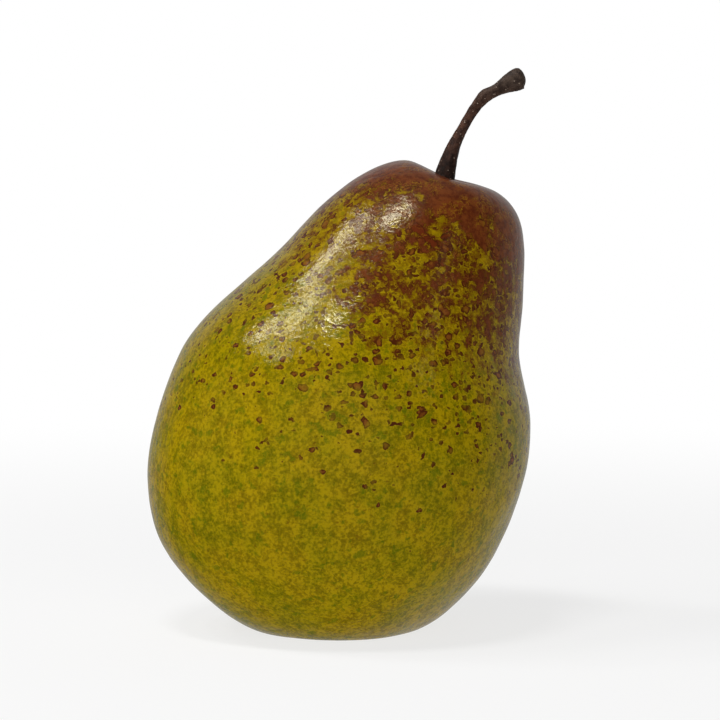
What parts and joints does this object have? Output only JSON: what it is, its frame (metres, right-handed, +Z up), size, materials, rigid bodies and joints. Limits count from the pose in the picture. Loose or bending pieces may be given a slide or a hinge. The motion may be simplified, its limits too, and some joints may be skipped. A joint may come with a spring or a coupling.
{
  "type": "pear",
  "caption": "Whole ripe pear standing on its own base with its neck leaning to one side, a bent woody stem on top and a dried calyx in the eye underneath.",
  "frame": {"origin": "on the surface that the pear stands on, below the middle of the fruit", "axes": "+Z up; the neck and stem lean towards +X; -Y is the side that the picture shows"},
  "size_m": [0.0764, 0.0752, 0.1118],
  "materials": {
    "skin": "waxy and glossy, yellow green mottled, with russet flecks and a russet crown",
    "stem_wood": "dark brown bark, dry and pitted",
    "dry_calyx": "withered, dull brown"
  },
  "bodies": {
    "root": {"fruit": "skin", "stem": "stem_wood", "calyx": "dry_calyx"}
  },
  "joints": []
}
